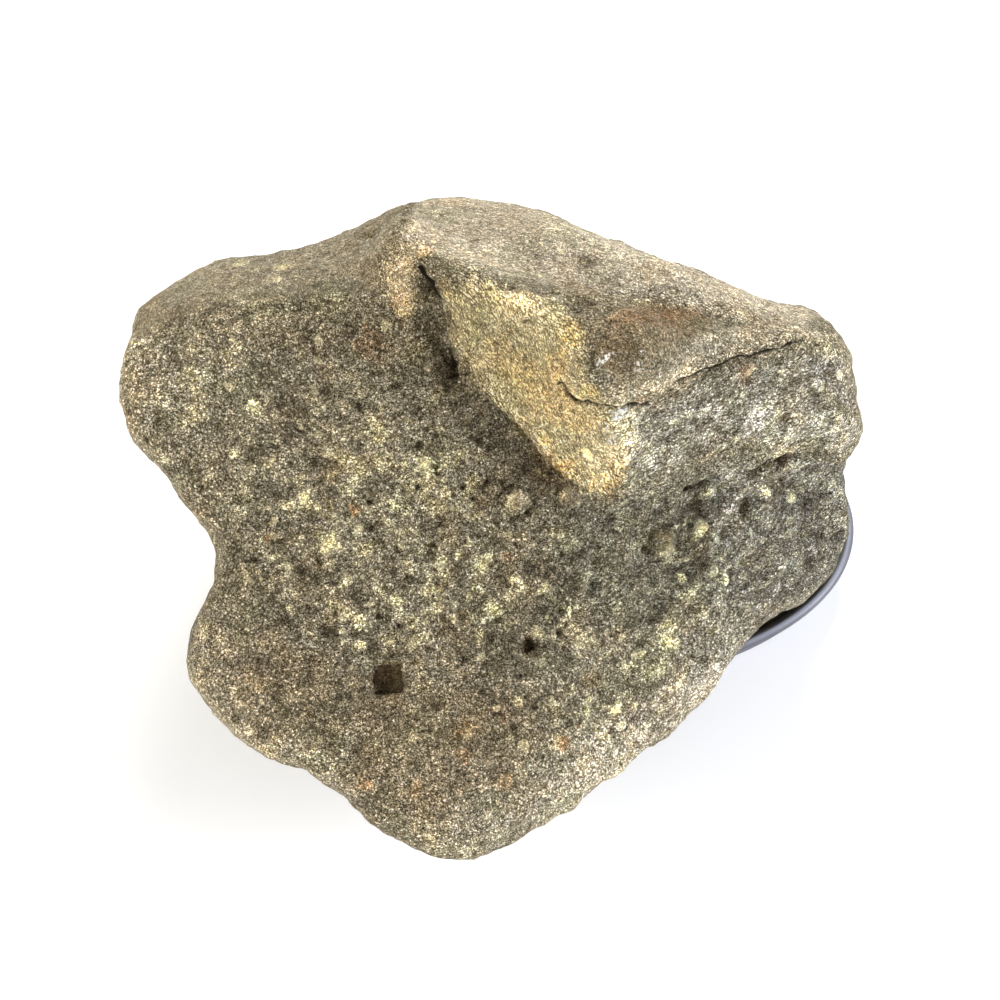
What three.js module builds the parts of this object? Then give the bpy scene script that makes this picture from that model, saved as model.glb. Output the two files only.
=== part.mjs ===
// A suiseki: one weathered block of volcanic stone, lying in a low oval stand of dark lacquered wood.
// Millimetres, +Z up. The origin is the centre of the stand's underside and the front faces -Y.
//
// The stone is described in the frame of its broad face: u runs across the face, v up it and w out of
// it. The face leans forward, so v points back and up, and w points up and towards the front.
// Every form is a signed distance, negative inside the stone, and the forms are joined and cut by
// blends that round their edges. The stone's skin is then found along rays from a point inside it.

import * as THREE from "three";
import { mergeVertices } from "three/addons/utils/BufferGeometryUtils.js";
import { ImprovedNoise } from "three/addons/math/ImprovedNoise.js";

// ---- Driving dimensions of the stand ----

const STAND = {
  innerLength: 194.2, // inside the rim, along X
  innerDepth: 104.2, // inside the rim, along Y
  floor: 6.5, // height of the floor that the stone lies on
  rimTop: 14.6,
  beadRadius: 2.3, // the rounded lip that runs around the top
  wall: 2.9, // from the inside of the rim to the middle of the lip
  baseReach: 1.6, // how far the moulding at the bottom stands out from the inside of the rim
  baseHeight: 2.6, // height of that moulding
  waistReach: 0.2, // how far the waist over the moulding stands out
  waistHeight: 4.8, // where the waist starts to flare out to the lip
  edge: 0.8, // the small slopes at the edges of the moulding and the floor
};
const STAND_SEGMENTS = 56;
const LIP_POINTS = 7;

// ---- Driving dimensions of the stone ----

const FACE_LEAN = 25; // degrees that the broad face leans forward from level
const SEAT_GAP = 0.3; // the stone lies this far over the stand's floor
const FOOT_MARGIN = 5.5; // between the stone's foot and the inside of the rim
const BRIM_HEIGHT = 17.2; // outside its foot the stone's underside stays above this height
const BRIM_RISE = 0.16; // and rises by this share of the distance from the foot
const FRONT_TAPER = 0.12; // the sides draw in by this share of the depth in front of the widest line
const BACK_TAPER = 0.95; // and by this share behind it
const BELLY = 14; // the length over which each taper sets in
const BACK_WAVE = { length: 48, height: 7, onset: 30 }; // broad swells of the side turned away

const RADIUS = {
  faceEdge: 8, // where the face and the slopes turn over to the sides
  faceSlope: 10, // between the broad face and the slopes around it
  block: 6, // along the edges of the raised block
  valley: 5, // in the valley between the block and the broad face
  foot: 4, // where the underside turns down to the foot
  hollow: 2.5, // around the mouth of a hollow
};

// The widest line around the stone, clockwise from its peak: across, up, and depth of that line.
const OUTLINE = [
  [-44, 113, 51], [-31.5, 114, 47], [-18, 113, 43], [3, 107, 44], [20, 99.5, 46],
  [39, 93, 48], [55, 85.5, 52], [70.5, 79.5, 55], [84.5, 76, 56], [92.5, 69.5, 57],
  [96.5, 61.5, 57], [98.5, 49.5, 56], [101, 39.5, 55], [99.5, 33, 52], [95.5, 28, 46],
  [95.5, 21, 42], [97.5, 15, 37], [99.5, 8, 34], [97.5, -0.5, 31], [92.5, -8.5, 30],
  [86.5, -17, 30], [80, -22, 31], [68, -28, 33], [63, -34.5, 40], [54.5, -44.5, 46],
  [44, -57, 52], [26.5, -70, 59], [9, -82.5, 67], [-7, -92.5, 73], [-20, -98.5, 77],
  [-29.5, -100, 78], [-41, -98, 78], [-52, -93.5, 77], [-61, -86, 76], [-71.5, -76.5, 74],
  [-88.5, -69.5, 71], [-101, -62.5, 69.5], [-112.5, -51, 68], [-117.5, -38.5, 67], [-117.5, -30, 66.5],
  [-110.5, -17.5, 66], [-108.5, -8, 66], [-109.5, 2.5, 66], [-118, 13.5, 65], [-127.5, 24.5, 65],
  [-135.5, 34, 64], [-140, 47, 63.5], [-139, 60.5, 63], [-136.5, 72.5, 61.5], [-126, 84, 58],
  [-107, 93, 55], [-93.5, 95, 54], [-82, 96.5, 54], [-67.5, 100.5, 54], [-57.5, 107, 53],
];
const OUTLINE_STEPS = 165;

// Flat slopes of the stone, each through three points of its surface.
const SLOPES = {
  broadFace: [[-96, 30, 94], [-48, -64, 101], [-1, -17, 98.5]],
  lobeTop: [[-128, 70, 89], [-71, 80, 95], [-82, 100, 60]],
  frontShoulder: [[15, -30, 95.5], [-17, -77, 97], [35, -63, 68]],
  rightFlank: [[27.5, 14.5, 93], [18, -30, 95], [94.5, 8, 48.5]],
};
const BLOCK_SLOPES = {
  top: [[-17, 112, 48.5], [80.5, 76, 63], [-1, 77, 110]],
  left: [[-32.5, 56, 94], [-1, 21, 94], [16, 46, 112]],
  leftWall: [[-41, 84, 88], [-36, 56, 88], [-32, 84, 108]],
  right: [[16, 46, 111], [20.5, 18, 98.5], [96, 40.5, 70]],
  ledge: [[27.5, 18, 97], [100, 34, 65], [97, 24.5, 53.5]],
};

// Rounded lumps on the stone: centre and half-axes across, up and out of the face.
const LUMPS = {
  nose: { centre: [17, 59, 103], halfAxes: [22, 15, 18.5] },
  spur: { centre: [-48, 88, 84], halfAxes: [10, 18, 13] },
};

// Hollows in the stone: centre and half-axes in the same order.
const HOLLOWS = {
  crevice: { centre: [-37.5, 80, 100], halfAxes: [3, 4.5, 9] },
  slot: { centre: [-33, 57, 96], halfAxes: [3, 8, 7] },
  squarePit: { centre: [-52.5, -42, 101], halfAxes: [5.5, 5.5, 5] },
  flankPit: { centre: [77, 19, 75], halfAxes: [9, 5, 6] },
  ledgePit: { centre: [44, 17, 92], halfAxes: [5, 4, 6] },
};

// The weathered skin: waves of three sizes, each with its length and its height.
const WAVES = [
  { length: 46, height: 1.6 },
  { length: 27, height: 1.1 },
  { length: 17, height: 0.8 },
];

// The rays that find the skin leave this point, in u, v and w.
const HEART = [-10, 8, 52];
const RAY_DETAIL = 19; // an icosahedron with this detail has 8000 faces
const RAY_CROWDING = 0.25; // how strongly the rays crowd towards the face
const RAY_STEP = 3;
const RAY_REACH = 190;
const BISECTIONS = 12;
const EVENING_ROUNDS = 16;
const EDGE_PULL = 30; // how much more a point on a sharp edge draws its neighbours
const SETTLING_STEPS = 2;
const PROBE = 0.05; // the distance at which a slope is measured
const LEAST_SLOPE = 0.4; // keeps a step short where the distance changes slowly

// ---- Frames ----

const lean = THREE.MathUtils.degToRad(FACE_LEAN);
const FACE_U = new THREE.Vector3(1, 0, 0);
const FACE_V = new THREE.Vector3(0, Math.cos(lean), Math.sin(lean));
const FACE_W = new THREE.Vector3(0, -Math.sin(lean), Math.cos(lean));

function onFace(point) {
  return new THREE.Vector3(point.dot(FACE_U), point.dot(FACE_V), point.dot(FACE_W));
}

function offFace(point) {
  return new THREE.Vector3()
    .addScaledVector(FACE_U, point.x)
    .addScaledVector(FACE_V, point.y)
    .addScaledVector(FACE_W, point.z);
}

// ---- Blends of signed distances ----

// What lies inside both forms, with its outer edge rounded to the radius.
function roundedBoth(a, b, radius) {
  const sharp = Math.max(a, b);
  return Math.min(-radius, sharp) + Math.hypot(Math.max(a + radius, 0), Math.max(b + radius, 0));
}

// What lies inside either form, with its inner edge filled to the radius.
function roundedEither(a, b, radius) {
  return -roundedBoth(-a, -b, radius);
}

// ---- Forms of the stone ----

const seatHeight = STAND.floor + SEAT_GAP;
const noise = new ImprovedNoise();

function planeOf(points) {
  const [a, b, c] = points.map((point) => new THREE.Vector3(...point));
  const plane = new THREE.Plane().setFromCoplanarPoints(a, b, c);
  return plane.normal.z < 0 ? plane.negate() : plane;
}

function slopesDistance(planes, point, radius) {
  return planes.map((plane) => plane.distanceToPoint(point)).reduce((a, b) => roundedBoth(a, b, radius));
}

// Close to the surface of the ellipsoid this is its distance.
function ellipsoidDistance({ centre, halfAxes }, point) {
  const x = (point.x - centre[0]) / halfAxes[0];
  const y = (point.y - centre[1]) / halfAxes[1];
  const z = (point.z - centre[2]) / halfAxes[2];
  const reach = Math.hypot(x, y, z);
  const slope = Math.hypot(x / halfAxes[0], y / halfAxes[1], z / halfAxes[2]);
  return slope === 0 ? -Math.min(...halfAxes) : (reach * (reach - 1)) / slope;
}

const outlineCurve = new THREE.CatmullRomCurve3(
  OUTLINE.map((point) => new THREE.Vector3(...point)),
  true,
  "centripetal",
);
const outlinePoints = outlineCurve.getPoints(OUTLINE_STEPS).slice(0, OUTLINE_STEPS);

// The distance from the outline in the plane of the face, and the depth of the widest line nearby.
function outlineAt(point) {
  let nearest = Infinity;
  let inside = false;
  let depthSum = 0;
  let weightSum = 0;
  outlinePoints.forEach((start, index) => {
    const end = outlinePoints[(index + 1) % outlinePoints.length];
    const alongX = end.x - start.x;
    const alongY = end.y - start.y;
    const share = THREE.MathUtils.clamp(
      ((point.x - start.x) * alongX + (point.y - start.y) * alongY) / (alongX ** 2 + alongY ** 2),
      0,
      1,
    );
    const gap = Math.hypot(point.x - start.x - share * alongX, point.y - start.y - share * alongY);
    nearest = Math.min(nearest, gap);
    const weight = 1 / (gap ** 4 + 1);
    depthSum += weight * THREE.MathUtils.lerp(start.z, end.z, share);
    weightSum += weight;
    const crosses = start.y > point.y !== end.y > point.y;
    if (crosses && point.x < start.x + ((point.y - start.y) / alongY) * alongX) inside = !inside;
  });
  return { distance: inside ? -nearest : nearest, depth: depthSum / weightSum };
}

function waveAt(point, length) {
  return noise.noise(point.x / length, point.y / length, point.z / length);
}

function sideDistance(point) {
  const { distance, depth } = outlineAt(point);
  const ahead = Math.max(point.z - depth, 0);
  const behind = Math.max(depth - point.z, 0);
  const taper = (FRONT_TAPER * ahead ** 2) / (ahead + BELLY) + (BACK_TAPER * behind ** 2) / (behind + BELLY);
  const onset = Math.min(behind / BACK_WAVE.onset, 1);
  return distance + taper + onset * BACK_WAVE.height * waveAt(point, BACK_WAVE.length);
}

const mainPlanes = Object.values(SLOPES).map(planeOf);
const blockPlanes = Object.values(BLOCK_SLOPES).map(planeOf);

function frontDistance(point) {
  const main = slopesDistance(mainPlanes, point, RADIUS.faceSlope);
  const block = slopesDistance(blockPlanes, point, RADIUS.block);
  let front = roundedEither(main, block, RADIUS.valley);
  for (const lump of Object.values(LUMPS)) {
    front = roundedEither(front, ellipsoidDistance(lump, point), RADIUS.valley);
  }
  return front;
}

// Above the brim the stone may spread past the stand; below it, it stays within its oval foot.
function undersideDistance(point) {
  const length = STAND.innerLength / 2 - FOOT_MARGIN;
  const depth = STAND.innerDepth / 2 - FOOT_MARGIN;
  const foot = ellipsoidDistance(
    { centre: [0, 0, 0], halfAxes: [length, depth, Infinity] },
    new THREE.Vector3(point.x, point.y, 0),
  );
  const brim = BRIM_HEIGHT + BRIM_RISE * Math.max(foot, 0) - point.z;
  return roundedEither(foot, brim, RADIUS.foot);
}

function weathering(point) {
  return WAVES.reduce((sum, wave) => sum + wave.height * waveAt(point, wave.length), 0);
}

function stoneDistance(point) {
  const face = onFace(point);
  let stone = roundedBoth(frontDistance(face), sideDistance(face), RADIUS.faceEdge);
  stone += weathering(point);
  stone = roundedBoth(stone, undersideDistance(point), RADIUS.foot);
  for (const hollow of Object.values(HOLLOWS)) {
    stone = roundedBoth(stone, -ellipsoidDistance(hollow, face), RADIUS.hollow);
  }
  return Math.max(stone, seatHeight - point.z);
}

// ---- The stone's skin ----

const heart = offFace(new THREE.Vector3(...HEART));

// The point where a ray from the heart leaves the stone.
function skinAlong(direction) {
  const at = (reach) => stoneDistance(heart.clone().addScaledVector(direction, reach));
  let inside = 0;
  let outside = RAY_STEP;
  while (at(outside) < 0 && outside < RAY_REACH) {
    inside = outside;
    outside += RAY_STEP;
  }
  for (let i = 0; i < BISECTIONS; i++) {
    const middle = (inside + outside) / 2;
    if (at(middle) < 0) inside = middle;
    else outside = middle;
  }
  return heart.clone().addScaledVector(direction, inside);
}

// Moves a point that is close to the skin straight onto it.
function ontoSkin(point) {
  for (let i = 0; i < SETTLING_STEPS; i++) {
    const distance = stoneDistance(point);
    const slope = new THREE.Vector3(
      stoneDistance(point.clone().setX(point.x + PROBE)) - distance,
      stoneDistance(point.clone().setY(point.y + PROBE)) - distance,
      stoneDistance(point.clone().setZ(point.z + PROBE)) - distance,
    ).divideScalar(PROBE);
    point.addScaledVector(slope, -distance / Math.max(slope.lengthSq(), LEAST_SLOPE));
  }
  point.z = Math.max(point.z, seatHeight);
  return point;
}

function neighboursOf(geometry) {
  const neighbours = Array.from({ length: geometry.getAttribute("position").count }, () => new Set());
  const index = geometry.index.array;
  for (let i = 0; i < index.length; i += 3) {
    for (let side = 0; side < 3; side++) {
      neighbours[index[i + side]].add(index[i + ((side + 1) % 3)]);
      neighbours[index[i + side]].add(index[i + ((side + 2) % 3)]);
    }
  }
  return neighbours;
}

// How sharply the skin turns at each point, from the normals of the faces around it.
function bendsOf(geometry, neighbours) {
  geometry.computeVertexNormals();
  const normals = neighbours.map((_, index) =>
    new THREE.Vector3().fromBufferAttribute(geometry.getAttribute("normal"), index),
  );
  return neighbours.map((others, index) => {
    let turn = 0;
    others.forEach((other) => (turn += 1 - normals[index].dot(normals[other])));
    return turn / others.size;
  });
}

// Draws each point towards its neighbours, and more strongly towards those on a sharp edge, so that
// the faces come out alike in size on the slopes and finer along the edges.
function evenOut(geometry, neighbours) {
  const position = geometry.getAttribute("position");
  const bends = bendsOf(geometry, neighbours);
  const moved = neighbours.map((others) => {
    const middle = new THREE.Vector3();
    let pull = 0;
    others.forEach((other) => {
      const weight = 1 + EDGE_PULL * bends[other];
      middle.addScaledVector(new THREE.Vector3().fromBufferAttribute(position, other), weight);
      pull += weight;
    });
    return ontoSkin(middle.divideScalar(pull));
  });
  moved.forEach((point, index) => position.setXYZ(index, point.x, point.y, point.z));
}

function stoneGeometry() {
  const ball = new THREE.IcosahedronGeometry(1, RAY_DETAIL);
  ball.deleteAttribute("normal");
  ball.deleteAttribute("uv");
  const geometry = mergeVertices(ball);
  const position = geometry.getAttribute("position");
  for (let index = 0; index < position.count; index++) {
    const direction = new THREE.Vector3().fromBufferAttribute(position, index);
    const point = skinAlong(direction.addScaledVector(FACE_W, RAY_CROWDING).normalize());
    position.setXYZ(index, point.x, point.y, point.z);
  }
  const neighbours = neighboursOf(geometry);
  for (let round = 0; round < EVENING_ROUNDS; round++) {
    evenOut(geometry, neighbours);
  }
  geometry.computeVertexNormals();
  return geometry;
}

// ---- The stand ----

// The stand's section, from the edge of its underside over the lip to the edge of its floor: how far
// each point stands out from the oval inside the rim, and its height.
function standSection() {
  const { floor, rimTop, beadRadius, wall, baseReach, baseHeight, waistReach, waistHeight, edge } = STAND;
  const beadHeight = rimTop - beadRadius;
  const lip = Array.from({ length: LIP_POINTS }, (_, index) => {
    const angle = THREE.MathUtils.degToRad(THREE.MathUtils.lerp(-50, 180, index / (LIP_POINTS - 1)));
    return [wall + beadRadius * Math.cos(angle), beadHeight + beadRadius * Math.sin(angle)];
  });
  return [
    [baseReach - edge, 0],
    [baseReach, edge],
    [baseReach, baseHeight],
    [waistReach, baseHeight + edge],
    [waistReach, waistHeight],
    [(waistReach + wall) / 2, (waistHeight + beadHeight) / 2 - edge],
    ...lip,
    [0, floor + 3 * edge],
    [-edge, floor + edge],
    [-3 * edge, floor],
  ];
}

function standGeometry() {
  const halfLength = STAND.innerLength / 2;
  const halfDepth = STAND.innerDepth / 2;
  const section = standSection();
  const profile = [
    new THREE.Vector2(0, 0),
    ...section.map(([reach, height]) => new THREE.Vector2(halfLength + reach, height)),
    new THREE.Vector2(0, STAND.floor),
  ];
  const lathe = new THREE.LatheGeometry(profile, STAND_SEGMENTS);
  lathe.deleteAttribute("normal");
  lathe.deleteAttribute("uv");
  lathe.rotateX(Math.PI / 2);
  const position = lathe.getAttribute("position");
  for (let i = 0; i < position.count; i++) {
    const radius = Math.hypot(position.getX(i), position.getY(i));
    const angle = Math.atan2(position.getY(i), position.getX(i));
    if (radius < 1) {
      position.setXYZ(i, 0, 0, position.getZ(i));
      continue;
    }
    const normal = new THREE.Vector2(halfDepth * Math.cos(angle), halfLength * Math.sin(angle)).normalize();
    const reach = radius - halfLength;
    position.setX(i, halfLength * Math.cos(angle) + reach * normal.x);
    position.setY(i, halfDepth * Math.sin(angle) + reach * normal.y);
  }
  const geometry = mergeVertices(lathe, 1e-3);
  geometry.computeVertexNormals();
  return geometry;
}

// ---- Assembly ----

const stoneMaterial = new THREE.MeshStandardMaterial({ color: 0x8a8069, roughness: 0.95, metalness: 0 });
const standMaterial = new THREE.MeshStandardMaterial({ color: 0x2b2729, roughness: 0.3, metalness: 0 });

const stone = new THREE.Mesh(stoneGeometry(), stoneMaterial);
stone.name = "stone";

const stand = new THREE.Mesh(standGeometry(), standMaterial);
stand.name = "stand";

const suiseki = new THREE.Group();
suiseki.add(stand, stone);

export default suiseki;
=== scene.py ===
"""The looks of a suiseki: one weathered block of volcanic stone in a low oval stand of dark lacquered wood.

The stone's skin starts as the CAD solid. It is divided finely, weathered by layers of relief, and given
the marks that the real stone shows: a crack, pits, pebbles caught in the rock, stains and pale patches,
with painted shade in its hollows, pits and cracks and painted light on faces turned to the lamps.
Marks are placed by where the photograph shows them, in pixels of its 1000 x 1000 frame, and then lie on
the skin itself. Relief is in millimetres, and everything that Blender gets is in metres.
"""

import math

import bmesh
import bpy
import numpy as np
from mathutils import Matrix, Vector, noise
from mathutils.bvhtree import BVHTree


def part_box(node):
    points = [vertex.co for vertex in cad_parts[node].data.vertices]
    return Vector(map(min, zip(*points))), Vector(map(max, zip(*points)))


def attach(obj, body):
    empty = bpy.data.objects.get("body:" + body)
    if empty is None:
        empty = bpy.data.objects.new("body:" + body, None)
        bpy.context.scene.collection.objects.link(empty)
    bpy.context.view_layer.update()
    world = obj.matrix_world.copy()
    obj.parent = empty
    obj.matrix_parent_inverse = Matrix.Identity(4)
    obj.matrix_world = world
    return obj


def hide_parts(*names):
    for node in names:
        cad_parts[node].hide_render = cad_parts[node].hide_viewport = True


MM = 0.001

# ---- The camera, which stands straight in front of the stone's broad face ----

FACE_LEAN = math.radians(25)
ACROSS_FACE = Vector((1, 0, 0))
UP_FACE = Vector((0, math.cos(FACE_LEAN), math.sin(FACE_LEAN)))
OUT_OF_FACE = Vector((0, -math.sin(FACE_LEAN), math.cos(FACE_LEAN)))

FRAME_PIXELS = 1000
FOCAL_PIXELS = 4436.54
SENSOR_WIDTH = 36.0
CAMERA_DISTANCE = 1500.0
CAMERA_ACROSS = -16.8
CAMERA_UP = 14.6
CAMERA_CLIP = (0.05, 50.0)  # in metres

FACE_HEIGHT = 80.0  # how far the broad face lies from the origin towards the camera, on the whole
PIXEL = (CAMERA_DISTANCE - FACE_HEIGHT) / FOCAL_PIXELS  # the size of a pixel on the broad face

CAMERA_PLACE = (
    ACROSS_FACE * CAMERA_ACROSS + UP_FACE * CAMERA_UP + OUT_OF_FACE * CAMERA_DISTANCE
)


def face_direction(slant):
    """The direction on the broad face that rises to the right by an angle in degrees."""
    angle = math.radians(slant)
    return ACROSS_FACE * math.cos(angle) + UP_FACE * math.sin(angle)


# ---- The stone's relief ----

WELD = 0.01  # points of a CAD mesh that are closer than this are one

SKIN_LEVELS = 2  # how often each face of the CAD solid is divided
FOOT_CLEAR = 7.0  # below this height, where the foot lies in the stand, the skin has no relief
FOOT_FADE = 6.0  # relief grows from nothing to full over this height above it

# How strongly the edges of the divided skin are sharpened again, over how many rounds of neighbours,
# and how far at most.
SHARPENING = 0.9
SHARPENING_ROUNDS = 14
SHARPENING_LIMIT = 2.0

# The seed of each kind of noise, from which its layers or directions count on. A noise is moved by as many
# of these steps as its seed says.
SEEDS = {"lumps": 0, "crests": 10, "marks": 31, "lines": 32, "ribs": 41, "patches": 51}
SEED_SHIFT = (13.7, 7.1, 3.3)
PORE_SHIFT = (31.3, 17.9, 5.7)
PORE_SPREAD = 97.3  # how far pores' middles are spread to draw at random which pores are there

# Each layer of the weathered surface: the distance between its lumps and their height.
LUMPS = [(15.0, 1.0), (8.0, 0.9), (4.5, 0.75), (2.7, 0.5)]
# Layers with sharp crests, as of broken rock: the distance between them and their height.
CRESTS = [(12.0, 0.9), (6.0, 0.6)]
CREST_MIDDLE = 0.25  # the rock between crests is lower than this share of their height

# How far the outlines of marks depart from round, and over what distance.
UNEVEN_MARKS = 0.6
UNEVEN_SIZE = 3.0
UNEVEN_PEBBLES = 0.3  # the power by which pebbles are less uneven
# How far lines stray from straight between their pixels, and over what distance.
WANDER = 0.8
WANDER_SIZE = 4.0

# The moat around a pebble: how deep it is per the pebble's height, how far out its middle is and how
# wide it is, per the pebble's radius.
MOAT_DEPTH = 0.6
MOAT_PLACE = 1.2
MOAT_WIDTH = 0.25

# Ribs along the streaks of a region: the distance between them, how much longer than that they are, and
# their height.
RIBS = {
    "right of the block": (4.2, 3.0, 1.1),
    "under the ledge": (4.2, 2.2, 1.3),
    "top of the block": (3.4, 3.0, 0.5),
    "left of the block": (3.4, 3.0, 0.45),
}
OUTLINE_CALM = 0.3  # the share of the relief that is missing where the stone's outline shows
OUTLINE_FACING = (0.45, 0.15)  # it goes missing between these shares of facing the camera
SHOWN_FACING = (-0.1, 0.15)  # and the tints of regions set in between these

# Small pits and knobs that the whole stone has: distance between them, radius, depth (less than
# nothing for a knob) and the share that is there.
PORES = [(7.0, 1.8, 1.2, 0.4), (4.6, 1.3, 0.9, 0.4), (6.3, 1.7, -0.6, 0.4)]

# Low swellings along the outline and, where the height is less than nothing, hollows: where they show,
# how far they reach in pixels, and their height.
SWELLINGS = [
    (232, 262, 70, 1.7), (352, 230, 48, 1.7), (460, 200, 40, 1.0), (774, 302, 45, -1.5),
    (585, 230, 40, -0.9), (830, 572, 30, 1.6), (804, 602, 26, 1.3), (613, 775, 36, 1.1),
    (158, 468, 50, -2.2), (207, 550, 60, -1.0), (192, 640, 50, -1.8), (210, 700, 40, -0.8),
    (298, 769, 36, -1.6), (400, 842, 40, -1.1), (128, 333, 36, -1.2), (850, 519, 11, -0.8),
    (849, 549, 16, 0.9),
]  # fmt: skip

# Pits: where they show, radius and depth.
PITS = [
    (530, 647, 3.0, 2.2), (378, 616, 1.3, 1.4), (690, 489, 1.8, 2.0), (697, 505, 3.6, 1.2),
    (760, 470, 3.8, 2.6), (783, 463, 3.4, 2.6), (816, 455, 2.0, 1.8), (786, 419, 3.0, 1.6),
    (746, 509, 3.2, 1.6), (842, 533, 1.9, 1.5), (432, 290, 2.0, 1.2), (650, 405, 1.6, 1.4),
    (370, 239, 3.0, 1.2), (585, 261, 5.0, 0.9),
]  # fmt: skip
PIT_FLOOR = 0.4  # a pit is deepest within this share of its radius
# The square pit: where it shows, its half width, its depth and how many degrees it is turned.
SQUARE_PIT = (388, 679, 4.6, 2.0, 4)
SQUARE_PIT_WALL = (-0.3, 0.9)  # where its wall begins and ends, counted inwards from its outline

# Pebbles in the rock: where they show, radius and height.
PEBBLES = [
    (517, 500, 4.2, 1.5), (571, 496, 4.0, 1.4), (666, 545, 5.2, 2.2), (698, 528, 3.4, 2.0),
    (682, 578, 2.3, 1.3), (712, 571, 3.0, 1.4), (727, 581, 2.3, 1.2), (763, 492, 2.6, 0.9),
    (791, 498, 3.2, 1.2), (493, 487, 2.6, 0.8),
]  # fmt: skip

# Grooves: the pixels that each follows, its width, its depth and how far the rock over it stands out.
GROOVES = {
    "crack": ([(560, 384), (566, 393), (574, 401), (590, 403), (612, 405)], 0.8, 2.0, 0.8),
    "crack, fine part": (
        [(655, 400), (672, 386), (699, 371), (718, 366), (731, 360), (763, 352), (800, 342)],
        0.6, 1.2, 0.9,
    ),
    "foot of the block": (
        [(437, 300), (446, 335), (455, 368), (478, 390), (500, 410), (530, 440), (553, 467), (580, 491)],
        2.2, 0.9, 0.9,
    ),
    "slot": ([(449, 350), (452, 366), (455, 382)], 1.2, 0.8, 0.0),
    "over the nose": ([(570, 299), (584, 304), (604, 303)], 1.3, 1.0, 0.5),
    "crevice": ([(421, 266), (426, 276), (430, 286), (437, 297)], 1.0, 1.6, 0.0),
    "gap of the crack": ([(624, 405), (648, 405)], 1.0, 1.6, 0.6),
    "lip of the lobe": ([(232, 318), (268, 306), (300, 308), (330, 303)], 1.1, 0.6, 0.5),
    "ledge": ([(690, 489), (722, 474), (750, 470), (776, 462), (797, 459)], 2.2, 1.6, 1.0),
    "ridge of the flank": ([(785, 538), (779, 572), (774, 600)], 1.4, -0.9, 0.0),
}  # fmt: skip
SMOOTHNESS = 0.5  # the share of the relief that smooth regions lack
ROUGHNESS = 0.5  # the share of relief that patchy regions have more
SQUARE_PIT_REACH = 3  # how many half widths over and under the square its mark reaches
GROOVE_REACH = 7.0  # how far from a groove the rock over it stands out,
GROOVE_LIP = 0.5  # how near to it that is full,
GROOVE_RISE = 0.8  # and over how much height it begins
# The grooves that get a line of painted shade: how wide that line is.
DARK_GROOVES = {
    "crack": 0.85,
    "crack, fine part": 0.42,
    "gap of the crack": 1.1,
    "slot": 0.55,
    "crevice": 0.65,
}
LINE_REACH = 3.0  # how far from its line a dark groove's field is kept,
LINE_FULL = 0.9  # and within what distance it is full

# Hollows get painted shade and some dirt, raised edges painted light and some wear: over how many rounds of
# neighbours each kind is judged, and how deep or high it is where that shows most.
HOLLOWS = {"small hollows": (5, 0.7), "broad hollows": (45, 2.2)}

# ---- Tints of the stone ----

SPUR = [
    (384, 262), (400, 240), (424, 238), (440, 256), (424, 262), (420, 284), (428, 302), (412, 318),
    (392, 314), (376, 292),
]  # fmt: skip
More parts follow.
